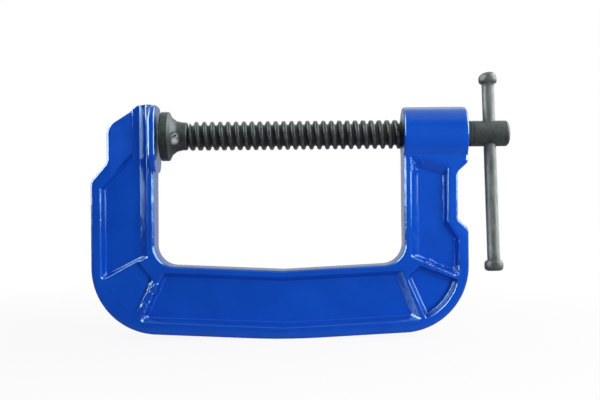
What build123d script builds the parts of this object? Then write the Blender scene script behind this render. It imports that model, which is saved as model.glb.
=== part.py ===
"""A heavy-duty G-clamp: a pocketed cast frame, a long clamping screw with a
sliding tommy bar, and a swivelling pressure shoe held by two spring pins.

+X runs from the anvil along the screw to the tommy bar, +Z is up, and the clamp
stands on its spine. The origin is the centre of the anvil's face, on the screw's
axis. All sizes are in millimetres."""
from build123d import *
import math
import os

os.makedirs("parts", exist_ok=True)

# The frame's arms and spine, seen from the side
frame_width = 24.5          # across the arms and the spine, along Y
throat_width = 169.4        # anvil face to the inner face of the right arm
throat_depth = 93.1         # screw axis to the spine, at the apex of its slope
spine_depth = 47.3          # throat to underside, at the apex
apex_x = 86.8               # where the spine is lowest
spine_rise = 2.75           # degrees, how the spine climbs from there to both arms
keel_radius = 500.0         # the underside's soft bend at the apex
left_outer_x = -45.0        # outer face of the left arm
left_shoulder = 11.4        # how much narrower the left arm is above its shoulder
arm_top_z = 21.4            # top of the left arm and of the anvil
arm_top_back_x = -12.8      # where that flat top ends and the slope begins
slope_foot_z = 5.4          # lower end of the slope behind the anvil
shoulder_top_z = -18.1      # where the left arm starts to widen
shoulder_foot_z = -31.2     # and where it has its full width
right_arm_width = 43.9      # inner face of the right arm to its outer face
right_waist = 7.2           # how far the right arm is waisted below its boss
waist_top_z = -26.7         # the waist, from here
waist_foot_z = -59.0        # down to here
waist_lead = 6.5            # height over which the waist runs out again
outer_corner_radius = 46.0
inner_corner_radius = 14.3
waist_radii = (3.0, 4.0, 5.0, 5.0)  # along the right arm's outer face, from its top
shoulder_radii = (8.0, 6.0)         # at the shoulder's foot and top
anvil_slope_radii = (8.0, 2.5)      # at the foot and top of the slope behind the anvil
arm_tip_radius = 2.0                # of the left arm's tip, at the anvil's pad
boss_corner_radius = 3.0            # of the right arm's end, inside the boss
flange_edge_bevel = 1.5             # the broken edges all round the frame

# The pockets sunk into both sides of the frame
pocket_depth = 6.5
outer_flange = 7.2          # rim left outside the pockets of the arms
inner_flange = 4.6          # rim left towards the throat
spine_under_flange = 8.3    # rim left under the spine's pocket
corner_flange = 6.5         # rim left round the lower right corner
steep_run = 2.0             # how far a steep pocket wall leans in, rim to floor
gentle_run = 5.2            # and a gentle one, along the inner flanges
middle_run = 3.0            # and one between, over and under the spine's pocket
pocket_radius = 1.8         # where walls meet each other and the floor
arm_pocket_neck = 20.4      # how far its wall steps in to run up behind the anvil
arm_pocket_neck_z = -14.5   # where the narrow stretch starts
arm_pocket_bend_z = -35.4   # where the slanting wall below it ends
arm_rib_outer = 11.8        # the left arm's rib: below the throat's line at its outer end
arm_rib_inner = 5.7         # and above it at its inner end
left_rib_top = 6.2          # the left corner's rib: from the arm's inner face, at the top
left_rib_foot = -10.2       # and at its foot
right_rib_top = -1.8        # the right corner's rib, in the same way
right_rib_foot = 11.6
right_arm_rib_inner = 4.9   # the right arm's rib: above the throat's line at its inner end
right_arm_rib_outer = 10.6  # and below it at its outer end
ramp_start = 2.6            # from the arm's outer face to the sloping plane behind the anvil
ramp_edge_drop = 0.6        # how far that plane reaches below the pocket's corner
boss_ramp_run = 6.5         # how far the pocket's wall under the boss leans in
boss_ramp_height = 8.4      # below the boss, at the outer flange
boss_pocket_gap = 1.0       # below the boss, at the inner flange
waist_wall = (1.8, 12.8)    # below the waist, where the outer wall starts and stops slanting

# The plane sunk into the lower left corner, by the corners of its outline
sunk_slope = 7.5            # degrees
sunk_start = (7.5, 8.4)     # in from the arm's outer face, below the throat's line
sunk_end = (14.7, 10.6)     # out from the arm's inner face, above the underside
sunk_rib = 2.2              # out from the inner face, where the plane ends at the rib
sunk_rib_drops = (11.8, 8.4)    # and how far below the throat's line
sunk_top = (13.0, 4.5)      # out from the inner face, above the throat's line

# The bowl sunk into the lower right corner, in the same way
bowl_rib = 2.2              # in from the arm's inner face
bowl_rib_drops = (8.3, 11.0)    # below the throat's line
bowl_upper = (9.5, 1.6)     # in from the inner face, below the throat's line
bowl_lower = (16.6, 2.6)    # in from the inner face, above the underside
bowl_outer_drop = 19.0      # below the throat's line, at the outer flange

# The tapped boss and the anvil's pad
boss_radius = 18.7
boss_bevel = 1.2
pad_width = 36.7            # along Y
pad_height = 46.9           # down from the arm's top
pad_corner_radius = 12.5
pad_thickness = 5.0
pad_stand = 1.6             # how far the pad stands proud of the arm
pad_edge_bevel = 0.8
pad_back_bevel = 1.5

# The clamping screw
thread_diameter = 20.0      # over the crests
thread_clearance = 0.08     # radial, in the boss
shoe_gap = 2.35             # anvil face to shoe, as the clamp stands
thread_shoulder = 1.1       # shoe to the thread's first turn
thread_end_inset = 8.3      # the thread's other end, inside the boss as the clamp stands
thread_lead_in = 1.6        # the bevel at the thread's first turn
head_diameter = 17.8
head_reach = 29.7           # how far the head stands out of the boss
head_end_bevel = 1.4
nose_diameter = 12.0
nose_bevel = (0.8, 1.2)     # along and across the nose
nose_clearance = 0.8        # nose to the bottom of the shoe's socket

# The tommy bar
bar_diameter = 8.6
bar_clearance = 0.1         # radial, in the screw's head
bar_inset = 12.9            # screw's end to the bar
bar_lean = 7.0              # degrees, how the screw is turned as the clamp stands
bar_upper = 34.4            # screw axis to the underside of the upper head
bar_lower = 87.6            # and of the lower head
bar_head_diameter = 13.1
upper_head_height = 9.6
lower_head_height = 7.6
bar_head_profile = ((0.3, 0.0), (0.85, 0.8), (1.0, 3.2))  # share of its height, in from its full radius

# The swivelling shoe and its pins
shoe_diameter = 34.0
shoe_rim_thickness = 5.8
shoe_length = 18.45
shoe_neck_diameter = 19.4
shoe_neck_length = 3.4      # the neck's straight end
shoe_sweep_cones = 3        # how many cones make the sweep from rim to neck
shoe_edge = 0.7
socket_diameter = 14.0
socket_floor = 4.3
pin_from_face = 10.45       # shoe face to the pins' axis
pin_diameter = 4.0
pin_bore = 1.9
pin_clearance = 0.05        # radial, pin to its hole in the shoe
pin_groove_clearance = 0.5  # pin to the groove in the screw's nose, all round
pin_tip_radius = 5.0        # distance of a pin's tip from the screw's axis
pin_inset = 0.15            # pin's outer end, below the shoe's neck

# What follows from these sizes
half_width = frame_width / 2
arm_inner_x = -pad_stand
left_upper_x = left_outer_x + left_shoulder
right_outer_x = throat_width + right_arm_width
waist_x = right_outer_x - right_waist
boss_underside_z = -math.sqrt(boss_radius ** 2 - half_width ** 2)
pin_x = shoe_gap + pin_from_face
thread_start_x = shoe_gap + shoe_length + thread_shoulder
thread_end_x = right_outer_x - thread_end_inset
head_end_x = right_outer_x + head_reach
bar_x = head_end_x - bar_inset
bar_radius = bar_diameter / 2
side_plane = Plane.XZ


def throat_z(x):
    """Height of the throat's line, which climbs both ways from its apex."""
    return -throat_depth + abs(x - apex_x) * math.tan(math.radians(spine_rise))


def under_z(x):
    """Height of the frame's underside, which climbs in the same way."""
    return throat_z(x) - spine_depth


def turned(profile):
    """A solid of revolution about the screw's axis from a closed (x, radius) outline."""
    face = make_face(Polyline(*profile, close=True))
    return revolve(side_plane * face, Axis.X)


def moved_edges(outline, shifts):
    """The outline whose edges lie inside the given one's by their own shifts.

    Edge i runs from point i to the next, anticlockwise."""
    lines = []
    count = len(outline)
    for i, shift in enumerate(shifts):
        x0, z0 = outline[i]
        x1, z1 = outline[(i + 1) % count]
        length = math.hypot(x1 - x0, z1 - z0)
        across = ((z0 - z1) / length, (x1 - x0) / length)
        lines.append((across, across[0] * x0 + across[1] * z0 + shift))
    corners = []
    for i in range(count):
        (a, b), p = lines[i - 1]
        (c, d), q = lines[i]
        area = a * d - b * c
        corners.append(((p * d - b * q) / area, (a * q - p * c) / area))
    return corners


def side_face(outline, depth):
    """A flat face with this (x, z) outline, at a depth below the frame's front side."""
    return side_plane.offset(half_width - depth) * make_face(Polyline(*outline, close=True))


def drafted(rim, runs, depth=pocket_depth):
    """The hollow under a rim whose walls lean in by their own runs on the way down."""
    over = 1.0
    mouth = [(x, -half_width - over, z)
             for x, z in moved_edges(rim, [-run * over / depth for run in runs])]
    floor = [(x, -half_width + depth, z) for x, z in moved_edges(rim, runs)]
    outlines = [mouth, floor]
    for i in range(len(rim)):
        outlines.append([mouth[i - 1], mouth[i], floor[i], floor[i - 1]])
    return Solid(Shell([Face(Wire.make_polygon(points)) for points in outlines]))


def soft(hollow, open_x=None):
    """A hollow with its wall corners and floor edges rounded.

    Edges of its mouth, and of a face at open_x where it runs on, stay sharp."""
    mouth = hollow.faces().sort_by(Axis.Y)[0]
    creases = []
    for edge in hollow.edges():
        runs_on = open_x is not None and all(abs(v.X - open_x) < 1e-6 for v in edge.vertices())
        if edge not in mouth.edges() and not runs_on:
            creases.append(edge)
    return fillet(creases, pocket_radius)


def frame_outline():
    """The frame's outline from the side, clockwise from the top of the left arm."""
    corners = [
        ((arm_inner_x, arm_top_z), arm_tip_radius),
        ((arm_inner_x, throat_z(arm_inner_x)), inner_corner_radius),
        ((apex_x, -throat_depth), outer_corner_radius),
        ((throat_width, throat_z(throat_width)), inner_corner_radius),
        ((throat_width, 0), boss_corner_radius),
        ((right_outer_x, 0), boss_corner_radius),
        ((right_outer_x, waist_top_z + waist_lead), waist_radii[0]),
        ((waist_x, waist_top_z), waist_radii[1]),
        ((waist_x, waist_foot_z), waist_radii[2]),
        ((right_outer_x, waist_foot_z - waist_lead), waist_radii[3]),
        ((right_outer_x, under_z(right_outer_x)), outer_corner_radius),
        ((apex_x, under_z(apex_x)), keel_radius),
        ((left_outer_x, under_z(left_outer_x)), outer_corner_radius),
        ((left_outer_x, shoulder_foot_z), shoulder_radii[0]),
        ((left_upper_x, shoulder_top_z), shoulder_radii[1]),
        ((left_upper_x, slope_foot_z), anvil_slope_radii[0]),
        ((arm_top_back_x, arm_top_z), anvil_slope_radii[1]),
    ]
    points = [point for point, _ in corners]
    radii = [radius for _, radius in corners]
    return FilletPolyline(*points, radius=radii, close=True)


def both_sides(tool):
    """A tool for the front side together with its mirror image for the back."""
    return [tool, mirror(tool, about=side_plane)]


def arm_pocket():
    """The left arm's pocket. It runs up behind the anvil and out at the arm's top."""
    left = left_outer_x + outer_flange
    right = arm_inner_x - inner_flange
    neck = left + arm_pocket_neck
    past = arm_top_z + pocket_depth
    rim = [
        (left, throat_z(left) - arm_rib_outer),
        (right, throat_z(right) + arm_rib_inner),
        (right, past),
        (neck, past),
        (neck, arm_pocket_neck_z),
        (left, arm_pocket_bend_z),
    ]
    runs = [steep_run, gentle_run, 0, 0, steep_run, steep_run]
    return soft(drafted(rim, runs))


def anvil_ramp():
    """The plane behind the anvil, from the arm's outer edge down to the pocket's floor."""
    start = left_upper_x + ramp_start
    foot = left_outer_x + outer_flange + arm_pocket_neck
    slope = pocket_depth / (foot - start)
    rise = (arm_pocket_neck_z - arm_pocket_bend_z) / arm_pocket_neck
    inner = foot + 1
    outer = left_outer_x
    past = arm_top_z + pocket_depth

    def sunk_y(x):
        return -half_width + (x - start) * slope

    def lower_z(x):
        return arm_pocket_neck_z - ramp_edge_drop + (x - foot) * rise

    wedge = Plane.XY.offset(arm_pocket_bend_z) * make_face(Polyline(
        (outer, sunk_y(outer)),
        (inner, sunk_y(inner)),
        (inner, -frame_width),
        (outer, -frame_width),
        close=True))
    above = side_face([(outer, lower_z(outer)), (inner, lower_z(inner)), (inner, past), (outer, past)], 0)
    return extrude(wedge, amount=past - arm_pocket_bend_z) & extrude(
        above, amount=pocket_depth, both=True)


def left_corner():
    """The plane that sinks into the lower left corner, from its outer edge inwards."""
    def below_throat(x, drop):
        return (x, throat_z(x) - drop)

    end_x = arm_inner_x - sunk_end[0]
    start = below_throat(left_outer_x + sunk_start[0], sunk_start[1])
    end = (end_x, under_z(end_x) + sunk_end[1])
    rim = [
        start,
        end,
        below_throat(arm_inner_x - sunk_rib, sunk_rib_drops[0]),
        below_throat(arm_inner_x - sunk_rib, sunk_rib_drops[1]),
        below_throat(arm_inner_x - sunk_top[0], -sunk_top[1]),
    ]
    walls = extrude(side_face(rim, pocket_depth), amount=2 * pocket_depth)
    along = Vector(end[0] - start[0], 0, end[1] - start[1]).normalized()
    inwards = Vector(-along.Z, 0, along.X)
    slope = math.radians(sunk_slope)
    sunk = Plane(
        origin=(start[0], -half_width, start[1]),
        x_dir=along,
        z_dir=inwards * math.sin(slope) + Vector(0, -1, 0) * math.cos(slope))
    outside = Box(throat_width, throat_width, spine_depth, align=(Align.CENTER, Align.CENTER, Align.MIN))
    return walls & (sunk * outside)


def spine_pocket():
    """The long pocket of the spine between its two ribs, made of two halves."""
    def top(x):
        return (x, throat_z(x) - inner_flange)

    def foot(x):
        return (x, under_z(x) + spine_under_flange)

    left = drafted(
        [foot(arm_inner_x + left_rib_foot), foot(apex_x), top(apex_x),
         top(arm_inner_x + left_rib_top)],
        [middle_run, 0, middle_run, steep_run])
    right = drafted(
        [foot(apex_x), foot(throat_width + right_rib_foot),
         top(throat_width + right_rib_top), top(apex_x)],
        [middle_run, gentle_run, middle_run, 0])
    return soft(left, apex_x) + soft(right, apex_x)


def right_corner():
    """The pocket of the lower right corner, with an outer wall round the corner's centre."""
    past = right_outer_x + pocket_depth
    left_x = throat_width + bowl_rib
    upper_x = throat_width + bowl_upper[0]
    lower_x = throat_width + bowl_lower[0]
    rim = [
        (left_x, throat_z(left_x) - bowl_rib_drops[1]),
        (lower_x, under_z(lower_x) + bowl_lower[1]),
        (past, under_z(past)),
        (past, throat_z(past) - bowl_outer_drop),
        (upper_x, throat_z(upper_x) - bowl_upper[1]),
        (left_x, throat_z(left_x) - bowl_rib_drops[0]),
    ]
    lean = gentle_run / 2
    runs = [lean, 0, 0, steep_run / 2, lean, lean]
    centre_x = right_outer_x - outer_corner_radius
    reach = outer_corner_radius - corner_flange
    slope = steep_run / pocket_depth
    over = 2.0
    bowl = Pos(centre_x, -half_width - over, under_z(centre_x) + outer_corner_radius) * Rot(
        -90, 0, 0) * Cone(
        reach + over * slope, reach - steep_run, pocket_depth + over,
        align=(Align.CENTER, Align.CENTER, Align.MIN))
    return soft(drafted(rim, runs)) & bowl


def right_pocket():
    """The right arm's pocket, from under the boss down to the lower right corner."""
    left = throat_width + inner_flange
    upper = waist_x - outer_flange
    lower = right_outer_x - outer_flange
    rim = [
        (left, throat_z(left) + right_arm_rib_inner),
        (lower, throat_z(lower) - right_arm_rib_outer),
        (lower, waist_foot_z - waist_wall[1]),
        (upper, waist_foot_z - waist_wall[0]),
        (upper, boss_underside_z - boss_ramp_height),
        (left, boss_underside_z - boss_pocket_gap),
    ]
    runs = [steep_run, steep_run, steep_run, steep_run, boss_ramp_run, gentle_run]
    return soft(drafted(rim, runs))


def anvil_pad():
    """The anvil's pad: a rounded rectangle that stands a little proud of the arm."""
    outline = Plane.YZ * Pos(0, arm_top_z - pad_height / 2) * RectangleRounded(
        pad_width, pad_height, pad_corner_radius)
    pad = extrude(outline, amount=-pad_thickness)
    pad = chamfer(pad.faces().sort_by(Axis.X)[-1].edges(), pad_edge_bevel)
    return chamfer(pad.faces().sort_by(Axis.X)[0].edges(), pad_back_bevel)


def boss():
    """The round boss that carries the screw."""
    barrel = Pos(throat_width, 0, 0) * Rot(0, 90, 0) * Cylinder(
        boss_radius, right_outer_x - throat_width, align=(Align.CENTER, Align.CENTER, Align.MIN))
    return chamfer(barrel.edges().filter_by(GeomType.CIRCLE), boss_bevel)


def frame():
    """The cast frame: an outline with broken edges, pocketed from both sides."""
    casting = extrude(side_plane * make_face(frame_outline()), amount=half_width, both=True)
    casting = chamfer(casting.faces().filter_by(Axis.Y).edges(), flange_edge_bevel)
    hollows = (arm_pocket(), spine_pocket(), right_corner(), right_pocket(), anvil_ramp(), left_corner())
    for hollow in hollows:
        for tool in both_sides(hollow):
            casting = casting - tool
    casting = casting + boss() + anvil_pad()
    bore = Pos(right_outer_x, 0, 0) * Rot(0, 90, 0) * Cylinder(
        thread_diameter / 2 + thread_clearance, 3 * right_arm_width)
    return casting - bore


def spindle():
    """The clamping screw: grooved nose, threaded stretch and plain head with its cross hole.

    The threaded stretch is its cylinder over the crests."""
    nose = nose_diameter / 2
    groove = pin_tip_radius - pin_groove_clearance
    groove_half = pin_diameter / 2 + pin_groove_clearance
    crest = thread_diameter / 2
    head = head_diameter / 2
    nose_end = shoe_gap + socket_floor + nose_clearance
    profile = [
        (nose_end, 0),
        (nose_end, nose - nose_bevel[1]),
        (nose_end + nose_bevel[0], nose),
        (pin_x - groove_half, nose),
        (pin_x - groove_half, groove),
        (pin_x + groove_half, groove),
        (pin_x + groove_half, nose),
        (thread_start_x, nose),
        (thread_start_x, crest - thread_lead_in),
        (thread_start_x + thread_lead_in, crest),
        (thread_end_x - (crest - head), crest),
        (thread_end_x, head),
        (head_end_x - head_end_bevel, head),
        (head_end_x, head - head_end_bevel),
        (head_end_x, 0),
    ]
    return turned(profile) - along_bar(Cylinder(bar_radius + bar_clearance, 3 * head_diameter))


def along_bar(shape):
    """A shape made along Z, turned and carried to the tommy bar's line."""
    return Pos(bar_x, 0, 0) * Rot(-bar_lean, 0, 0) * shape


def bar_head(under, height, sign):
    """The outline of one upset head of the bar, as (radius, height) points outwards."""
    points = [(bar_radius, under)]
    for share, less in bar_head_profile:
        points.append((bar_head_diameter / 2 - less, under + sign * share * height))
    return points + [(0, under + sign * height)]


def tommy_bar():
    """The sliding bar with a head upset at each end, so that it can't fall out."""
    upper = bar_head(bar_upper, upper_head_height, 1)
    lower = bar_head(-bar_lower, lower_head_height, -1)
    outline = make_face(Polyline(*upper, *reversed(lower), close=True))
    return along_bar(revolve(side_plane * outline, Axis.Z))


def swivel_shoe():
    """The pressure shoe: a broad rim and a neck, bored for the screw's nose.

    The sweep between them follows an arc that runs into the neck."""
    rim = shoe_diameter / 2
    neck = shoe_neck_diameter / 2
    face = shoe_gap
    rim_end = face + shoe_rim_thickness
    end = face + shoe_length
    straight = end - shoe_neck_length
    socket = socket_diameter / 2
    floor = face + socket_floor
    edge = shoe_edge
    run = straight - rim_end
    rise = rim - neck
    radius = (run ** 2 + rise ** 2) / (2 * rise)
    profile = [(floor, 0), (face, 0), (face, rim - edge), (face + edge, rim)]
    for step in range(shoe_sweep_cones, -1, -1):
        angle = math.asin(run / radius) * step / shoe_sweep_cones
        profile.append((straight - radius * math.sin(angle), neck + radius * (1 - math.cos(angle))))
    profile += [(end - edge, neck), (end, neck - edge), (end, socket), (floor, socket)]
    shoe = turned(profile)
    hole = pin_diameter / 2 + pin_clearance
    return shoe - Pos(pin_x, 0, 0) * Rot(90, 0, 0) * Cylinder(hole, shoe_diameter)


def shoe_pin(side):
    """A spring pin through the shoe's neck, its tip in the groove of the screw's nose."""
    length = shoe_neck_diameter / 2 - pin_tip_radius - pin_inset
    pin = Cylinder(pin_diameter / 2, length, align=(Align.CENTER, Align.CENTER, Align.MIN))
    pin = pin - Cylinder(pin_bore / 2, 3 * length)
    return Pos(pin_x, side * pin_tip_radius, 0) * Rot(-90 * side, 0, 0) * pin


parts = {
    "frame": frame(),
    "spindle": spindle(),
    "tommy_bar": tommy_bar(),
    "swivel_shoe": swivel_shoe(),
    "shoe_pin_front": shoe_pin(-1),
    "shoe_pin_rear": shoe_pin(1),
}
for name, shape in parts.items():
    shape.label = name
    export_step(shape, f"parts/{name}.step")
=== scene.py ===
"""A heavy-duty G-clamp in a white studio.

The cast frame is finished in glossy blue enamel. The clamping screw gets its
rolled thread, the tommy bar its two upset heads, and the pressure shoe its rounded
edges and its two bright spring pins. Lengths are in metres: +X along the screw, +Z
up, origin at the centre of the anvil's face.
"""
import math

import bmesh
import bpy
import numpy as np
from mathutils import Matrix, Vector


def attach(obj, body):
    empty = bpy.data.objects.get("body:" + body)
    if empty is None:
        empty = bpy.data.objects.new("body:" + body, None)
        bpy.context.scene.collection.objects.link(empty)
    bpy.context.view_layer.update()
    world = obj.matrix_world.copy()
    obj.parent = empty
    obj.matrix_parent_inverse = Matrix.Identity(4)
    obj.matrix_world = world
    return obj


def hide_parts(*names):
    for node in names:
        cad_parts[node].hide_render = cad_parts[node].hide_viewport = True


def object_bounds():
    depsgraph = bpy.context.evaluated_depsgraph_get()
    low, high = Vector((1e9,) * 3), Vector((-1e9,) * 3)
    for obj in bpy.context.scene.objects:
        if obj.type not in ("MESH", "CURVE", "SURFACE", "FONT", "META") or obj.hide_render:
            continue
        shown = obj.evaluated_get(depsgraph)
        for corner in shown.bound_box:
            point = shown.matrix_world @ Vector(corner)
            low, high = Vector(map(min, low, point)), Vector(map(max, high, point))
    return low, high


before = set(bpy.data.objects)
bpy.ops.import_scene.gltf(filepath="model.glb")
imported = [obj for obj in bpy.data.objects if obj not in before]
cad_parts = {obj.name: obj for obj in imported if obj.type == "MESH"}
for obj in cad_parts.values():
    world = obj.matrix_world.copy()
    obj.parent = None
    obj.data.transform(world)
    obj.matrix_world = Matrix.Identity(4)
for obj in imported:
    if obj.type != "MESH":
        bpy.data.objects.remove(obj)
cad_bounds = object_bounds()
MM = 0.001

# How sharp edges are rounded: the reach on outer edges and on inner ones
CAST_ROUNDING = (1.8 * MM, 3.4 * MM)
TURNED_ROUNDING = (0.4 * MM, 0.8 * MM)
HEAD_ROUNDING = (0.6 * MM, 0.6 * MM)
SHARP_TURN = math.radians(30)
MOST_SHARE = 0.45             # of an edge beside a sharp one that a rounding takes up
MOST_SINK = 3                 # how far a point sinks at most, in its least reaches
LEAST_SINE = 0.05             # of the angle between an edge and a sharp one

# Small measures
WELD = 0.002 * MM             # points closer than this are one
CUT_SNAP = 0.0001 * MM        # points this close to the head's cut lie on it
NO_AREA = 1e-30               # divides where a triangle has no area
NO_LENGTH = 1e-9              # divides where the normals of two faces cancel out

# Edges that turn by more than this many degrees stay crisp
TURNED_CREASE = 38
HEAD_CREASE = 60
PIN_CREASE = 30

# The clamping screw, as the frame and the shoe hold it
CREST_RADIUS = 10.0 * MM
WORN_FROM = 0.93              # of the crests' radius, where the wear begins
ROOT_RADIUS = 7.45 * MM
PITCH = 5.5 * MM
THREAD_START = 21.9 * MM
THREAD_END = 205.0 * MM
THREAD_PHASE = 0.86           # of a pitch, where the first groove stands
SPARE_TURNS = 3               # of the winding, beyond the thread's two ends
LEAD_IN = 1.6 * MM            # the bevel that the first crests run into
HEAD_RADIUS = 8.9 * MM
NOSE_RADIUS = 6.0 * MM
NOSE_END = 7.45 * MM
NOSE_BEVEL = (0.8 * MM, 1.2 * MM)
NOSE_GROOVE = (10.3 * MM, 15.3 * MM, 4.5 * MM)
TURN_STEPS = 80

# One pitch of the thread: shares of the pitch along it and of the depth up from its root
THREAD_PROFILE = [
    (-0.11, 0.0), (0.11, 0.0), (0.15, 0.12), (0.225, 0.50), (0.30, 0.88), (0.345, 0.97),
    (0.40, 1.0), (0.60, 1.0), (0.655, 0.97), (0.70, 0.88), (0.775, 0.50), (0.85, 0.12),
]

# The plain shank behind the thread, up to the cut at which the drilled head goes on
SHANK_START = THREAD_END + 0.2 * MM
SHANK_END = 219.2 * MM
SHANK_STEP = 0.3 * MM         # how far the thread's last ring steps in under the shank
SHANK_GROOVES = (216.0 * MM, 218.1 * MM)
GROOVE_PROFILE = [            # along the screw and deep
    (-0.35 * MM, 0.0), (-0.15 * MM, 0.32 * MM), (0.15 * MM, 0.32 * MM), (0.35 * MM, 0.0),
]

# The tommy bar's line through the screw's head
BAR_RADIUS = 4.3 * MM
BAR_HEAD_RADIUS = 6.55 * MM
BAR_X = 230.1 * MM
BAR_LEAN = math.radians(7.0)
BAR_UPPER = 34.4 * MM
BAR_LOWER = 87.6 * MM
UPPER_HEAD = 9.6 * MM
LOWER_HEAD = 7.6 * MM
BAR_STEPS = 48
BAR_RINGS = 25                # between the heads
BAR_SPAN = (0.02, 0.98)       # where the first and the last of them stand, as a share

# The bar's heads from the bar outwards: shares of the head's height, and radii
UPPER_RINGS = [
    (0.0, 4.3 * MM), (0.10, 4.9 * MM), (0.16, 6.0 * MM), (0.26, 6.45 * MM),
    (0.42, 6.55 * MM), (0.58, 6.5 * MM), (0.70, 6.1 * MM), (0.80, 5.4 * MM),
    (0.90, 4.5 * MM), (0.97, 3.4 * MM), (1.0, 2.0 * MM), (1.0, 0.0),
]
LOWER_RINGS = [
    (0.0, 4.3 * MM), (0.06, 5.2 * MM), (0.14, 6.0 * MM), (0.28, 6.45 * MM),
    (0.50, 6.55 * MM), (0.72, 6.45 * MM), (0.86, 6.0 * MM), (0.95, 5.2 * MM),
    (0.99, 4.0 * MM), (1.0, 2.0 * MM), (1.0, 0.0),
]
HEAD_OVAL = (0.012, 0.6)      # share of the radius, and the angle at which it starts
CROWN_OVAL = (0.03, 2.4)      # the same for the upper head's crown
CROWN_SLOPE = 0.12            # how steeply that crown falls to one side

# Forging scale on the bar's heads
SCALE_PLACES = [(BAR_X, t * math.sin(BAR_LEAN), t * math.cos(BAR_LEAN))
                for t in (BAR_UPPER + UPPER_HEAD / 2, -BAR_LOWER - LOWER_HEAD / 2)]
SCALE_REACH = 10.5 * MM

# The spring pins in the shoe
PIN_X = 12.8 * MM
PIN_RADIUS = 2.0 * MM
PIN_BORE = 0.95 * MM
PIN_IN = 5.0 * MM
PIN_OUT = 9.55 * MM
PIN_BEVEL = 0.25 * MM
PIN_GAP = 0.5                 # radians left open by the roll
PIN_GAP_AT = -2.2             # where the gap stands, from +Z towards +X
PIN_STEPS = 36

# A light grey patch on the shoe's colour beside the front pin
PALE_SPOT_PLACES = [(12.9 * MM, -9.3 * MM, -0.3 * MM), (13.3 * MM, -11.0 * MM, -3.9 * MM)]
PALE_SPOT_REACH = 3.3 * MM

# Where the casting's skin is beaded: the right arm's upper corner and two ribs' ends
BEAD_PLACES = [
    (177.0 * MM, -10.0 * MM, -19.0 * MM),
    (178.5 * MM, -10.0 * MM, -23.5 * MM),
    (187.0 * MM, -10.0 * MM, -88.5 * MM),
    (195.0 * MM, -10.0 * MM, -92.5 * MM),
    (203.0 * MM, -10.0 * MM, -95.5 * MM),
    (-1.5 * MM, -10.0 * MM, -105.0 * MM),
    (-6.5 * MM, -10.0 * MM, -118.0 * MM),
]
BEAD_REACH = 5.6 * MM

# The share of a spot's reach within which it is full
BEAD_CORE = 0.75
SPOT_CORE = 0.35

# The camera
CAMERA_POINT = (98.2 * MM, -663.0 * MM, -44.9 * MM)
CAMERA_LENS = 57.3
CAMERA_SENSOR = 36.0
CAMERA_ROLL = math.radians(0.55)

# The floor just under the clamp
FLOOR_CENTRE = (0.1, 0.0, cad_bounds[0][2] - 0.0002)
FLOOR_HALF = 30.0

# The lamp in front, and the even light from all round
LAMP_POINT = (0.44, -0.50, 0.10)
LAMP_TARGET = (0.1, 0.0, -0.05)
LAMP_SIZE = (0.5, 0.4)
LAMP_POWER = 2.6
WORLD_LEVEL = 0.45
WORLD_TINT = (0.95, 0.97, 1.0, 1)

# What reflections see by their y, from the camera (-1) over the side to the backdrop (1)
ROOM_DARK = 0.03              # how bright the room behind the camera mirrors
BACK_WHITE = 0.52             # and the middle of the backdrop
ROOM = [(-1.0, ROOM_DARK), (-0.1, ROOM_DARK), (0.3, 0.12), (0.78, 0.15), (0.9, BACK_WHITE),
        (1.0, BACK_WHITE)]
MIRROR_TINT = (0.88, 0.98, 1.0, 1)

# The lit panels that they see besides: an axis, its sense, and brightness by y
PANEL_PEAK = 16.0
PANEL_EDGE = (0.35, 0.6)      # along the axis, where a panel starts and where it is full
PANELS = [
    ("X", -1.0, [(-1.0, 0.0), (-0.62, 0.0), (-0.48, 16.0), (0.15, 16.0), (0.32, 0.0),
                 (1.0, 0.0)]),
    ("X", 1.0, [(-1.0, 0.0), (-0.62, 0.0), (-0.48, 16.0), (0.2, 16.0), (0.36, 6.0),
                (0.76, 5.0), (0.86, 0.0), (1.0, 0.0)]),
    ("Z", 1.0, [(-1.0, 0.0), (-0.68, 0.0), (-0.4, 0.7), (0.5, 1.1), (0.62, 1.6),
                (0.84, 1.6), (0.92, 0.3), (1.0, 0.3)]),
]

# The paper: the share of plain white in what is seen of it, from near to far off, and
# where along y its mirror image turns from the room's dark to the backdrop's white
PAPER_GLOW = (0.89, 1.0)
GLOW_REACH = (0.10, 0.5)
PAPER_TURN = (-0.12, 0.08)


# Mesh helpers
def new_piece(name, points, faces, material, hollow=None):
    """A mesh piece at the origin from an (n, 3) array of points and rows of corners,
    with the hollows' value of each point if there is one."""
    mesh = bpy.data.meshes.new(name)
    mesh.from_pydata(points.tolist(), [], np.asarray(faces).tolist())
    if hollow is not None:
        mesh.attributes.new("hollow", "FLOAT", "POINT").data.foreach_set("value", hollow)
    mesh.materials.append(material)
    piece = bpy.data.objects.new(name, mesh)
    bpy.context.scene.collection.objects.link(piece)
    return piece


def edit_mesh(piece, change):
    """Runs a change on the piece's bmesh and writes it back."""
    work = bmesh.new()
    work.from_mesh(piece.data)
    change(work)
    work.to_mesh(piece.data)
    work.free()
    piece.data.update()


def sew(piece):
    """Merges points that lie on each other, drops the faces that this empties and
    turns every face outwards."""
    def change(work):
        bmesh.ops.remove_doubles(work, verts=work.verts, dist=WELD)
        bmesh.ops.dissolve_degenerate(work, edges=work.edges, dist=WELD / 2)
        bmesh.ops.recalc_face_normals(work, faces=work.faces)
    edit_mesh(piece, change)


def smooth(piece, crease):
    """Smooth shading, with edges sharper than the crease's angle kept crisp."""
    piece.data.polygons.foreach_set("use_smooth", np.ones(len(piece.data.polygons), bool))
    piece.data.set_sharp_from_angle(angle=math.radians(crease))


def flat_shaded(piece):
    """Smooth shading in which the broad faces keep their own direction."""
    piece.data.polygons.foreach_set("use_smooth", np.ones(len(piece.data.polygons), bool))
    piece.modifiers.new("Flat faces", "WEIGHTED_NORMAL").keep_sharp = True


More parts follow.
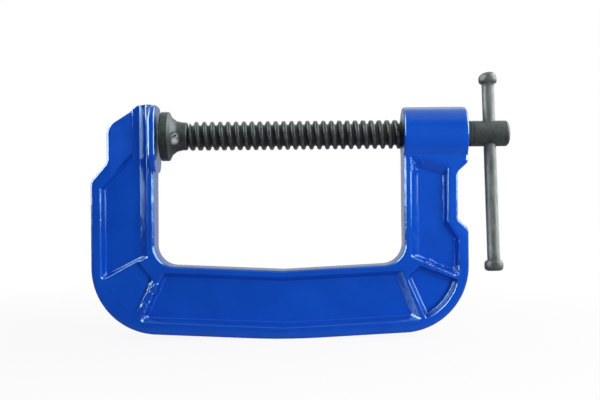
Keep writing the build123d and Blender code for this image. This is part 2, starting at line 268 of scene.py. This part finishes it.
def node_surface(node):
    """The node's own points, each once, and its triangles as rows of three of them."""
    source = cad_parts[node].data
    corners = np.empty(len(source.vertices) * 3)
    source.vertices.foreach_get("co", corners)
    triangles = np.empty(len(source.polygons) * 3, int)
    source.polygons.foreach_get("vertices", triangles)
    grid = np.round(corners.reshape(-1, 3) / WELD).astype(np.int64)
    _, first, same = np.unique(grid, axis=0, return_index=True, return_inverse=True)
    triangles = same.ravel()[triangles].reshape(-1, 3)
    whole = (triangles != np.roll(triangles, 1, axis=1)).all(axis=1)
    return corners.reshape(-1, 3)[first], triangles[whole]


def surface_edges(points, triangles):
    """Each edge once, its number for every side of every triangle, its bend, and
    whether it is an inner edge.

    The bend is the way that a rounding moves the edge, for a reach of one: along the
    mean of the two faces' normals, inwards on an outer edge and outwards on an inner
    one, by the tangent of a quarter of the angle by which they turn. It is nought on
    edges that turn by less than SHARP_TURN."""
    sides = np.stack([triangles, np.roll(triangles, -1, axis=1)], -1).reshape(-1, 2)
    edges, number = np.unique(np.sort(sides, axis=1), axis=0, return_inverse=True)
    number = number.ravel()
    a, b, c = (points[triangles[:, k]] for k in range(3))
    normal = np.cross(b - a, c - a)
    normal /= np.maximum(np.linalg.norm(normal, axis=1, keepdims=True), NO_AREA)
    order = np.argsort(number, kind="stable")
    start = np.searchsorted(number[order], np.arange(len(edges)))
    one, two = order[start] // 3, order[np.minimum(start + 1, len(order) - 1)] // 3
    total = normal[one] + normal[two]
    size = np.linalg.norm(total, axis=1)
    turn = 2 * np.arccos(np.clip(size / 2, 0, 1))
    middle = (a + b + c) / 3
    outer = (normal[one] * (middle[two] - middle[one])).sum(axis=1) < 0
    amount = np.tan(turn / 4) * np.where(outer, -1, 1) / np.maximum(size, NO_LENGTH)
    bend = total * amount[:, None]
    bend[turn < SHARP_TURN] = 0.0
    return edges, number.reshape(-1, 3), bend, ~outer


def sharp_corners(points, triangles):
    """What surface_edges gives, then which edges are sharp and which points they have."""
    edges, number, bend, inner = surface_edges(points, triangles)
    sharp = bend.any(axis=1)
    corner = np.zeros(len(points), bool)
    corner[edges[sharp]] = True
    return edges, number, bend, inner, sharp, corner


def cut_sides(points, triangles, number, which, places):
    """The surface with new points on some edges, and its triangles cut there.

    One new point halves a triangle, two cut off a corner and halve the rest, and
    three make four."""
    middle = np.where(which, len(points) + np.cumsum(which) - 1, -1)[number]
    lone = (middle >= 0).sum(axis=1) == 1
    pair = (middle >= 0).sum(axis=1) == 2
    full = (middle >= 0).all(axis=1)
    parts = [triangles[(middle < 0).all(axis=1)]]
    for k in range(3):
        turned, cut = np.roll(triangles, -k, axis=1), np.roll(middle, -k, axis=1)
        pick = lone & (cut[:, 0] >= 0)
        (a, b, c), m = turned[pick].T, cut[pick, 0]
        parts += [np.stack([a, m, c], -1), np.stack([m, b, c], -1)]
        pick = pair & (cut[:, 2] < 0)
        (a, b, c), m, n = turned[pick].T, cut[pick, 0], cut[pick, 1]
        parts += [np.stack([m, b, n], -1), np.stack([a, m, n], -1), np.stack([a, n, c], -1)]
    (a, b, c), (m, n, o) = triangles[full].T, middle[full].T
    parts += [np.stack(part, -1) for part in ((a, m, o), (m, b, n), (o, n, c), (m, n, o))]
    return np.concatenate([points, places[which]]), np.concatenate(parts)


def slants(points, rails, ends, ways):
    """The sine of the smallest angle between each way out of a point and the rails
    that leave the same point."""
    half = np.concatenate([rails, rails[:, ::-1]])
    half = half[np.argsort(half[:, 0])]
    course = points[half[:, 1]] - points[half[:, 0]]
    course /= np.linalg.norm(course, axis=1, keepdims=True)
    start = np.searchsorted(half[:, 0], ends)
    stop = np.searchsorted(half[:, 0], ends, side="right")
    sine = np.ones(len(ends))
    for k in range((stop - start).max()):
        cosine = (course[np.minimum(start + k, len(half) - 1)] * ways).sum(axis=1)
        beside = (start + k < stop) & (cosine > 0)
        sine = np.where(beside, np.minimum(sine, np.sqrt(np.maximum(1 - cosine ** 2, 0))), sine)
    return np.maximum(sine, LEAST_SINE)


def rounded(points, triangles, reach):
    """A surface whose sharp edges are rounded, as a casting's or a file's are.

    The reach has two values, for outer edges and for inner ones. Every edge that
    leaves a sharp one is cut at the reach beside it, which draws a line along both its
    sides. The sharp edge itself then sinks on to the arc that touches both faces at
    those lines, and smooth shading does the rest. The third value given back is 1 at
    the bottom of the inner edges, in the hollows, and 0 elsewhere."""
    # An edge that joins two sharp ones is halved, so that both can be rounded
    edges, number, _, _, sharp, corner = sharp_corners(points, triangles)
    across = corner[edges].all(axis=1) & ~sharp
    points, triangles = cut_sides(points, triangles, number, across, points[edges].mean(axis=1))

    # The edges that leave a sharp one, from its side, and how slantwise each leaves it
    edges, number, bend, inner, sharp, corner = sharp_corners(points, triangles)
    leaves = corner[edges].any(axis=1) & ~sharp
    foot = np.where(corner[edges[:, 0]], edges[:, 0], edges[:, 1])
    way = points[edges.sum(axis=1) - foot] - points[foot]
    length = np.linalg.norm(way, axis=1)
    slant = np.ones(len(edges))
    slant[leaves] = slants(points, edges[sharp], foot[leaves], (way / length[:, None])[leaves])

    # Where each of them is cut, by the reach of the point that it leaves
    count = len(points)
    hollow = np.zeros(count)
    hollow[edges[sharp & inner]] = 1.0
    hollow[edges[sharp & ~inner]] = 0.0
    reach = np.where(hollow > 0, reach[1], reach[0])
    share = np.minimum(reach[foot] / (length * slant), MOST_SHARE)
    depth = (share * length * slant)[leaves]
    places = points[foot] + share[:, None] * way

    # How far each point on a sharp edge sinks, and which way
    ends = edges[sharp].ravel()
    mean = np.bincount(foot[leaves], depth, count)
    mean /= np.maximum(np.bincount(foot[leaves], minlength=count), 1)
    least = reach.copy()
    np.minimum.at(least, foot[leaves], depth)
    sink = np.minimum(mean, MOST_SINK * least)
    sink /= np.maximum(np.bincount(ends, minlength=count), 1)
    move = np.stack([np.bincount(ends, np.repeat(bend[sharp, k], 2), count)
                     for k in range(3)], -1)
    points = points + sink[:, None] * move
    points, triangles = cut_sides(points, triangles, number, leaves, places)
    return points, triangles, np.concatenate([hollow, np.zeros(len(points) - count)])


def strip_faces(rows, columns, closed):
    """Quads between neighbouring rows and columns of a grid, closed round the columns."""
    i, j = np.meshgrid(np.arange(rows - 1), np.arange(columns if closed else columns - 1),
                       indexing="ij")
    k = (j + 1) % columns
    return np.stack([i * columns + j, i * columns + k,
                     (i + 1) * columns + k, (i + 1) * columns + j], -1).reshape(-1, 4)


def lathe_points(profile, steps):
    """Each (x, radius) of the profile carried once round the screw's axis.

    The angle grows from +Y towards +Z, so a point is (x, r cos a, r sin a)."""
    profile = np.array(profile)
    angle = np.arange(steps) * 2 * math.pi / steps
    x = np.repeat(profile[:, 0], steps)
    r = np.repeat(profile[:, 1], steps)
    a = np.tile(angle, len(profile))
    return np.stack([x, r * np.cos(a), r * np.sin(a)], -1)


# The clamping screw
def thread_surface():
    """The thread as one strip that winds round the axis, a pitch wide.

    Row i stands at the angle 2 pi i / TURN_STEPS and has advanced by i / TURN_STEPS
    pitches. Across the strip the profile has a narrow root, flanks that lean by 23
    degrees and a broad crest with rounded corners. The radius is the profile's,
    held under the bevel at both ends, and points past an end close it as a step."""
    along, height = np.array(THREAD_PROFILE).T
    rows = math.ceil(TURN_STEPS * ((THREAD_END - THREAD_START) / PITCH + SPARE_TURNS)) + 1
    turn = np.arange(rows)[:, None] / TURN_STEPS + np.zeros(len(along))
    x = THREAD_START + PITCH * (turn - 1 - THREAD_PHASE + along)
    r = ROOT_RADIUS + (CREST_RADIUS - ROOT_RADIUS) * height
    r = np.minimum(r, CREST_RADIUS - LEAD_IN + np.abs(x - THREAD_START))
    r = np.minimum(r, HEAD_RADIUS + np.abs(THREAD_END - x))
    r = np.where(x <= THREAD_START, NOSE_RADIUS, r)
    r = np.where(x >= THREAD_END, HEAD_RADIUS, r)
    x = np.clip(x, THREAD_START, THREAD_END)
    angle = 2 * math.pi * turn
    points = np.stack([x, r * np.cos(angle), r * np.sin(angle)], -1).reshape(-1, 3)
    columns = len(along)
    i = np.arange(rows - 1 - TURN_STEPS)
    last = i * columns + columns - 1
    first = (i + TURN_STEPS) * columns
    seam = np.stack([last, first, first + columns, last + columns], -1)
    return points, np.concatenate([strip_faces(rows, columns, False), seam])


def nose_profile():
    """The nose from its tip to the thread, with the groove that the pins run in."""
    left, right, depth = NOSE_GROOVE
    along, inward = NOSE_BEVEL
    return [
        (NOSE_END, 0.0), (NOSE_END, NOSE_RADIUS - inward), (NOSE_END + along, NOSE_RADIUS),
        (left, NOSE_RADIUS), (left, depth), (right, depth), (right, NOSE_RADIUS),
        (THREAD_START, NOSE_RADIUS),
    ]


def shank_profile():
    """The plain part behind the thread, with two turned grooves."""
    profile = [(SHANK_START, 0.0), (SHANK_START, HEAD_RADIUS)]
    for groove in SHANK_GROOVES:
        profile += [(groove + along, HEAD_RADIUS - depth) for along, depth in GROOVE_PROFILE]
    return profile + [(SHANK_END, HEAD_RADIUS), (SHANK_END, 0.0)]


def clamping_screw(material):
    """The nose, the thread and the cap that closes the thread's end."""
    cap_profile = [(THREAD_END, HEAD_RADIUS), (SHANK_START, HEAD_RADIUS - SHANK_STEP),
                   (SHANK_START, 0.0)]
    points, faces = thread_surface()
    for profile in (nose_profile(), cap_profile):
        faces = np.concatenate([faces, strip_faces(len(profile), TURN_STEPS, True) + len(points)])
        points = np.concatenate([points, lathe_points(profile, TURN_STEPS)])
    piece = new_piece("clamping_screw", points, faces, material)
    sew(piece)
    smooth(piece, TURNED_CREASE)
    return piece


def screw_shank(material):
    """The shank, turned from its profile."""
    profile = shank_profile()
    piece = new_piece("screw_shank", lathe_points(profile, TURN_STEPS),
                      strip_faces(len(profile), TURN_STEPS, True), material)
    sew(piece)
    smooth(piece, TURNED_CREASE)
    return piece


def screw_head(material):
    """The drilled head: the solid's own surface from the shank's end on, rounded."""
    def cut(work):
        parts = work.verts[:] + work.edges[:] + work.faces[:]
        bmesh.ops.bisect_plane(work, geom=parts, dist=CUT_SNAP, clear_inner=True,
                               plane_co=(SHANK_END, 0, 0), plane_no=(1, 0, 0))
        bmesh.ops.holes_fill(work, edges=[e for e in work.edges if e.is_boundary], sides=0)
        bmesh.ops.recalc_face_normals(work, faces=work.faces)

    points, triangles, _ = rounded(*node_surface("spindle"), HEAD_ROUNDING)
    piece = new_piece("screw_head", points, triangles, material)
    edit_mesh(piece, cut)
    flat_shaded(piece)
    piece.data.set_sharp_from_angle(angle=math.radians(HEAD_CREASE))
    return piece


# The tommy bar
def tommy_bar(material):
    """A drawn bar with a head forged at each end, as a grid of rings along its line.

    Each ring has a height t and a radius r. The radius shrinks a little with the
    angle, by a sine of twice the angle on both heads and by a sine of the angle on the
    upper head's crown, which also falls to one side with the square of its height."""
    upper, lower = BAR_UPPER, -BAR_LOWER
    rings = [(lower - s * LOWER_HEAD, r, 0.0) for s, r in reversed(LOWER_RINGS)]
    rings += [(lower + s * (upper - lower), BAR_RADIUS, 0.0)
              for s in np.linspace(*BAR_SPAN, BAR_RINGS)]
    rings += [(upper + s * UPPER_HEAD, r, s) for s, r in UPPER_RINGS]
    t, r, crown = (np.array(v)[:, None] for v in zip(*rings))
    a = np.arange(BAR_STEPS)[None, :] * 2 * math.pi / BAR_STEPS
    swell = np.clip((r - BAR_RADIUS) / (BAR_HEAD_RADIUS - BAR_RADIUS), 0, 1)
    share, start = HEAD_OVAL
    uneven = share * (1 + np.sin(2 * a + start))
    share, start = CROWN_OVAL
    uneven = uneven + share * crown * (1 + np.sin(a + start))
    r = r * (1 - uneven * swell)
    u, v = r * np.cos(a), r * np.sin(a)
    t = t - CROWN_SLOPE * crown ** 2 * (BAR_HEAD_RADIUS - u)
    lean_sin, lean_cos = math.sin(BAR_LEAN), math.cos(BAR_LEAN)
    points = np.stack([BAR_X + u, v * lean_cos + t * lean_sin,
                       t * lean_cos - v * lean_sin], -1).reshape(-1, 3)
    piece = new_piece("tommy_bar_forged", points, strip_faces(len(rings), BAR_STEPS, True),
                      material)
    sew(piece)
    smooth(piece, HEAD_CREASE)
    return piece


# The two spring pins
def spring_pin(name, near, far, material):
    """A pin rolled from strip: a C-shaped section along +Y, with bevelled ends.

    The section runs round the outer radius from one side of the gap to the other and
    back round the bore, so a point is (x, z) = (PIN_X + r sin a, r cos a)."""
    turn = PIN_GAP_AT + np.linspace(PIN_GAP / 2, 2 * math.pi - PIN_GAP / 2, PIN_STEPS)
    angle = np.concatenate([turn, turn[::-1]])
    outside = np.arange(2 * PIN_STEPS) < PIN_STEPS
    rings = []
    for y, bevel in ((near, PIN_BEVEL), (near + PIN_BEVEL, 0.0), (far - PIN_BEVEL, 0.0),
                     (far, PIN_BEVEL)):
        r = np.where(outside, PIN_RADIUS - bevel, PIN_BORE)
        rings.append(np.stack([PIN_X + r * np.sin(angle), y + 0 * r, r * np.cos(angle)], -1))
    count = 2 * PIN_STEPS
    i = np.arange(PIN_STEPS - 1)
    end = np.stack([i, i + 1, count - 2 - i, count - 1 - i], -1)
    other_end = end + (len(rings) - 1) * count
    faces = np.concatenate([strip_faces(len(rings), count, True), end, other_end])
    piece = new_piece(name, np.concatenate(rings), faces, material)
    sew(piece)
    smooth(piece, PIN_CREASE)
    return piece


# Materials
class Nodes:
    """A node tree, and the kinds of node that the finishes and the studio share."""

    def __init__(self, tree):
        self.tree = tree

    def node(self, kind, **settings):
        """A new node with its settings."""
        node = self.tree.nodes.new(kind)
        for key, value in settings.items():
            setattr(node, key, value)
        return node

    def link(self, source, target):
        """Joins an output to an input."""
        self.tree.links.new(source, target)

    def math(self, operation, first, second):
        """A number made of two, each of them an output or a plain value."""
        node = self.node("ShaderNodeMath", operation=operation)
        for socket, value in zip(node.inputs, (first, second)):
            if isinstance(value, float):
                socket.default_value = value
            else:
                self.link(value, socket)
        return node.outputs[0]

    def parts(self, source):
        """The outputs X, Y and Z of a place or a direction."""
        node = self.node("ShaderNodeSeparateXYZ")
        self.link(source, node.inputs["Vector"])
        return node.outputs

    def fade(self, source, start, end, low=0.0, high=1.0):
        """The source's stretch from start to end, carried to low and high."""
        node = self.node("ShaderNodeMapRange")
        for key, value in (("From Min", start), ("From Max", end),
                           ("To Min", low), ("To Max", high)):
            node.inputs[key].default_value = value
        self.link(source, node.inputs["Value"])
        return node.outputs["Result"]

    def ramp(self, source, stops):
        """A colour ramp with (position, colour) stops; a colour may be one grey value."""
        node = self.node("ShaderNodeValToRGB")
        points = node.color_ramp.elements
        while len(points) < len(stops):
            points.new(0.5)
        for point, (position, colour) in zip(points, stops):
            point.position = position
            point.color = (*colour, 1) if isinstance(colour, tuple) else (colour,) * 3 + (1,)
        self.link(source, node.inputs["Fac"])
        return node.outputs["Color"]

    def curve(self, source, stops):
        """Grey by a source that runs from -1 to 1, from (position, grey) stops."""
        return self.ramp(self.fade(source, -1.0, 1.0), [((at + 1) / 2, grey) for at, grey in stops])

    def mix(self, factor, first, second, blend="MIX"):
        """The first colour, an output, turned towards the second, a plain one."""
        node = self.node("ShaderNodeMix", data_type="RGBA", blend_type=blend)
        node.inputs["B"].default_value = (*second, 1)
        self.link(factor, node.inputs["Factor"])
        self.link(first, node.inputs["A"])
        return node.outputs["Result"]

    def mix_shaders(self, factor, first, second):
        """The first shader, turned into the second by the factor."""
        node = self.node("ShaderNodeMixShader")
        for socket, source in zip(node.inputs, (factor, first, second)):
            self.link(source, socket)
        return node.outputs["Shader"]


class Finish(Nodes):
    """A material on the Principled shader, worked out on the object's own coordinates.

    The values are plain ones for the shader's sockets, by their names in lower case."""

    def __init__(self, name, **values):
        self.material = bpy.data.materials.new(name)
        self.material.use_nodes = True
        super().__init__(self.material.node_tree)
        self.shader = self.tree.nodes["Principled BSDF"]
        for key, value in values.items():
            socket = key.replace("_", " ").title().replace("Ior", "IOR")
            self.shader.inputs[socket].default_value = value
        self.place = self.node("ShaderNodeTexCoord").outputs["Object"]

    def set(self, socket, source):
        """Drives one of the shader's sockets."""
        self.link(source, self.shader.inputs[socket])

    def vector(self, operation, value=None):
        """A vector operation on the place, with a plain second vector if it has one."""
        node = self.node("ShaderNodeVectorMath", operation=operation)
        self.link(self.place, node.inputs[0])
        if value is not None:
            node.inputs[1].default_value = value
        return node.outputs

    def noise(self, scale, detail=3.0, roughness=0.5, stretch=None):
        """Noise in features per metre, drawn out where the stretch is below one."""
        node = self.node("ShaderNodeTexNoise")
        for key, value in (("Scale", scale), ("Detail", detail), ("Roughness", roughness)):
            node.inputs[key].default_value = value
        place = self.place if stretch is None else self.vector("MULTIPLY", stretch)["Vector"]
        self.link(place, node.inputs["Vector"])
        return node.outputs["Fac"]

    def near(self, places, reach, core):
        """One close to some places, fading from a core, a share of the reach, to nought
        at the reach."""
        closest = None
        for place in places:
            far = self.vector("DISTANCE", place)["Value"]
            closest = far if closest is None else self.math("MINIMUM", closest, far)
        return self.fade(closest, reach, core * reach)

    def bump(self, layers):
        """Chained bumps from (height source, strength, distance) layers."""
        normal = None
        for source, strength, distance in layers:
            node = self.node("ShaderNodeBump")
            node.inputs["Strength"].default_value = strength
            node.inputs["Distance"].default_value = distance
            self.link(source, node.inputs["Height"])
            if normal is not None:
                self.link(normal, node.inputs["Normal"])
            normal = node.outputs["Normal"]
        self.set("Normal", normal)


def blue_enamel():
    """Glossy blue enamel over a casting: soft lumps, a fine orange peel, and shade painted darker
    into the hollows.
    """
    paint = Finish("Blue enamel", ior=1.62, specular_tint=(0.55, 0.86, 1.0, 1))
    deep, light, shaded = (0.0036, 0.065, 0.46), (0.0048, 0.079, 0.54), (0.25, 0.32, 0.40)
    pigment = paint.ramp(paint.noise(38.0, 4.0, 0.55), [(0.30, deep), (0.72, light)])
    # Painted shade: the base colour is multiplied darker along the casting's inner edges, where the
    # corners fall into shadow
    hollow = paint.node("ShaderNodeAttribute", attribute_name="hollow").outputs["Fac"]
    paint.set("Base Color", paint.mix(hollow, pigment, shaded, "MULTIPLY"))
    paint.set("Roughness", paint.ramp(paint.noise(160.0, 4.0, 0.6), [(0.3, 0.07), (0.75, 0.16)]))
    beads = paint.math("MULTIPLY", paint.noise(650.0, 1.0, 0.4),
                       paint.near(BEAD_PLACES, BEAD_REACH, BEAD_CORE))
    paint.bump([
        (paint.noise(95.0, 2.0, 0.5), 0.18, 0.90 * MM),
        (paint.noise(420.0, 3.0, 0.6), 0.30, 0.22 * MM),
        (beads, 0.9, 1.2 * MM),
    ])
    return paint.material


def black_oxide(name, dark, light, roughness, metal, stretch=None):
    """Blackened steel: an oily grey-black with a drawn or turned grain.

    Two noises added make the colour's streaks. The finish is given back with its
    colour, for what lies on it."""
    steel = Finish(name, metallic=metal, ior=1.35)
    clouds = steel.noise(120.0, 5.0, 0.6)
    streaks = steel.noise(450.0, 3.0, 0.6, stretch)
    grain = steel.noise(900.0, 3.0, 0.6, stretch)
    both = steel.math("MULTIPLY", steel.math("ADD", clouds, streaks), 0.5)
    colour = steel.ramp(both, [(0.41, dark), (0.59, light)])
    steel.set("Base Color", colour)
    steel.set("Roughness", steel.ramp(grain, [(0.3, roughness - 0.08), (0.7, roughness + 0.10)]))
    steel.bump([(grain, 0.30, 0.05 * MM), (steel.noise(260.0, 3.0, 0.5), 0.20, 0.10 * MM)])
    return steel, colour


def screw_steel():
    """The screw's oxide, drawn out round the thread and worn off its crests in patches,
    where the distance from the screw's axis comes close to the crests' radius."""
    steel, colour = black_oxide("Blackened screw", dark=(0.018, 0.020, 0.020),
                                light=(0.038, 0.042, 0.042), roughness=0.34, metal=0.25,
                                stretch=(1.0, 0.06, 0.06))
    bright = (0.085, 0.090, 0.088)
    across = steel.vector("MULTIPLY", (0.0, 1.0, 1.0))["Vector"]
    far = steel.node("ShaderNodeVectorMath", operation="LENGTH")
    steel.link(across, far.inputs[0])
    crest = steel.fade(far.outputs["Value"], WORN_FROM * CREST_RADIUS, CREST_RADIUS)
    patches = steel.ramp(steel.noise(330.0, 4.0, 0.65), [(0.42, 0.10), (0.62, 0.85)])
    worn = steel.math("MULTIPLY", crest, patches)
    steel.set("Base Color", steel.mix(worn, colour, bright))
    return steel.material


def head_steel():
    """The softer oxide of the screw's shank and head."""
    steel, _ = black_oxide("Blackened head", dark=(0.029, 0.034, 0.032),
                           light=(0.049, 0.057, 0.054), roughness=0.48, metal=0.12)
    return steel.material


def bar_steel():
    """The bar's thin oxide, drawn along it, with dark forging scale on its heads."""
    steel, colour = black_oxide("Blackened bar", dark=(0.078, 0.081, 0.079),
                                light=(0.148, 0.152, 0.149), roughness=0.48, metal=0.10,
                                stretch=(1.0, 1.0, 0.05))
    scale, scaled = steel.near(SCALE_PLACES, SCALE_REACH, SPOT_CORE), (0.050, 0.053, 0.051)
    steel.set("Base Color", steel.mix(scale, colour, scaled))
    return steel.material


def shoe_steel():
    """The shoe's oxide, with a light grey patch on its colour beside its front pin."""
    steel, colour = black_oxide("Blackened shoe", dark=(0.018, 0.021, 0.020),
                                light=(0.040, 0.044, 0.043), roughness=0.48, metal=0.06)
    # A light grey patch is laid on the shoe's colour close to these places
    pale_spot, bright = steel.near(PALE_SPOT_PLACES, PALE_SPOT_REACH, SPOT_CORE), (0.44, 0.46, 0.46)
    steel.set("Base Color", steel.mix(pale_spot, colour, bright))
    return steel.material


def spring_steel():
    """Bright rolled spring steel, finely scratched."""
    steel = Finish("Spring steel", metallic=0.2)
    dull, bright = (0.50, 0.51, 0.50), (0.70, 0.71, 0.70)
    steel.set("Base Color", steel.ramp(steel.noise(700.0, 3.0, 0.6), [(0.3, dull), (0.7, bright)]))
    steel.set("Roughness", steel.ramp(steel.noise(1500.0, 2.0, 0.5), [(0.3, 0.25), (0.7, 0.42)]))
    steel.bump([(steel.noise(2500.0, 2.0, 0.5), 0.2, 0.02 * MM)])
    return steel.material


def white_paper():
    """White paper under the object.

    It is lit and shaded as paper is, and to the camera it also has the background's
    white, the more the further off it lies, so that no horizon shows. Reflections see
    it white behind the object and dark on the camera's side, as the room is."""
    paper = Finish("White paper", roughness=0.9)
    paper.shader.inputs["Specular IOR Level"].default_value = 0.0
    paper.set("Base Color", paper.ramp(paper.noise(30.0, 2.0), [(0.3, 0.79), (0.7, 0.81)]))
    path = paper.node("ShaderNodeLightPath").outputs
    glow = paper.fade(paper.vector("LENGTH")["Value"], *GLOW_REACH, *PAPER_GLOW)
    white = paper.node("ShaderNodeEmission").outputs["Emission"]
    seen = paper.mix_shaders(paper.math("MULTIPLY", path["Is Camera Ray"], glow),
                             paper.shader.outputs["BSDF"], white)
    mirrored = paper.node("ShaderNodeEmission")
    depth = paper.fade(paper.parts(paper.place)["Y"], *PAPER_TURN, ROOM_DARK, BACK_WHITE)
    paper.link(depth, mirrored.inputs["Strength"])
    both = paper.mix_shaders(path["Is Glossy Ray"], seen, mirrored.outputs["Emission"])
    paper.link(both, paper.tree.nodes["Material Output"].inputs["Surface"])
    return paper.material


# The studio
def floor_sheet(material):
    """A flat square under the object, from its centre and half its width."""
    corners = np.array([(-1, -1, 0), (1, -1, 0), (1, 1, 0), (-1, 1, 0)])
    return new_piece("floor", FLOOR_CENTRE + FLOOR_HALF * corners, [(0, 1, 2, 3)], material)


def studio_world():
    """White behind the object for the camera and an even level for the light it gives.

    Reflections see a dark room on the camera's side, the backdrop behind the object,
    and the studio's lit panels to the left, to the right and overhead."""
    world = bpy.data.worlds.new("Studio")
    world.use_nodes = True
    studio = Nodes(world.node_tree)
    level = studio.tree.nodes["Background"]
    level.inputs["Color"].default_value = WORLD_TINT
    level.inputs["Strength"].default_value = WORLD_LEVEL
    way = studio.parts(studio.node("ShaderNodeTexCoord").outputs["Generated"])
    light = studio.curve(way["Y"], ROOM)
    start, full = PANEL_EDGE
    for axis, sense, stops in PANELS:
        lit = studio.curve(way["Y"], [(y, value / PANEL_PEAK) for y, value in stops])
        facing = studio.curve(studio.math("MULTIPLY", way[axis], sense),
                              [(-1.0, 0.0), (start, 0.0), (full, PANEL_PEAK), (1.0, PANEL_PEAK)])
        light = studio.math("ADD", light, studio.math("MULTIPLY", lit, facing))
    mirrored = studio.node("ShaderNodeBackground")
    mirrored.inputs["Color"].default_value = MIRROR_TINT
    studio.link(light, mirrored.inputs["Strength"])
    white = studio.node("ShaderNodeBackground")
    white.inputs["Color"].default_value = (1, 1, 1, 1)
    path = studio.node("ShaderNodeLightPath").outputs
    unseen = studio.mix_shaders(path["Is Glossy Ray"], level.outputs["Background"],
                                mirrored.outputs["Background"])
    both = studio.mix_shaders(path["Is Camera Ray"], unseen, white.outputs["Background"])
    studio.link(both, studio.tree.nodes["World Output"].inputs["Surface"])
    return world


def softbox():
    """A soft oblong lamp in front that faces the object and doesn't mirror in it."""
    lamp = bpy.data.lights.new("Front softbox", "AREA")
    lamp.shape = "RECTANGLE"
    lamp.size, lamp.size_y = LAMP_SIZE
    lamp.energy = LAMP_POWER
    stand = bpy.data.objects.new("Front softbox", lamp)
    bpy.context.scene.collection.objects.link(stand)
    stand.location = LAMP_POINT
    way = Vector(LAMP_TARGET) - Vector(LAMP_POINT)
    stand.rotation_euler = way.to_track_quat("-Z", "Y").to_euler()
    stand.visible_glossy = False


def camera_in_front():
    """The camera level in front of the object, a little rolled."""
    data = bpy.data.cameras.new("Camera")
    data.lens = CAMERA_LENS
    data.sensor_width = CAMERA_SENSOR
    camera = bpy.data.objects.new("Camera", data)
    bpy.context.scene.collection.objects.link(camera)
    camera.location = CAMERA_POINT
    camera.rotation_euler = (math.pi / 2, CAMERA_ROLL, 0)
    return camera


# The clamp's pieces
# The hollows' value marks the inner edges, where the enamel gets its painted shade
points, triangles, hollow = rounded(*node_surface("frame"), CAST_ROUNDING)
casting = new_piece("cast_frame", points, triangles, blue_enamel(), hollow)
flat_shaded(casting)
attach(casting, "frame")
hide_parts("frame")

screw = clamping_screw(screw_steel())
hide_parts("spindle")
bare_steel = head_steel()
for piece in (screw, screw_shank(bare_steel), screw_head(bare_steel)):
    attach(piece, "spindle")

bar = tommy_bar(bar_steel())
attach(bar, "tommy_bar")
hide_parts("tommy_bar")

points, triangles, _ = rounded(*node_surface("swivel_shoe"), TURNED_ROUNDING)
shoe = new_piece("pressure_shoe", points, triangles, shoe_steel())
flat_shaded(shoe)
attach(shoe, "swivel_shoe")
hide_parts("swivel_shoe")

pin_steel = spring_steel()
for node, near, far in (("shoe_pin_front", -PIN_OUT, -PIN_IN), ("shoe_pin_rear", PIN_IN, PIN_OUT)):
    pin = spring_pin(node.replace("shoe", "rolled"), near, far, pin_steel)
    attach(pin, "shoe_pins")
    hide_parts(node)

# The picture
floor = floor_sheet(white_paper())
softbox()
scene = bpy.context.scene
scene.world = studio_world()
scene.camera = camera_in_front()
scene.view_settings.view_transform = "Standard"
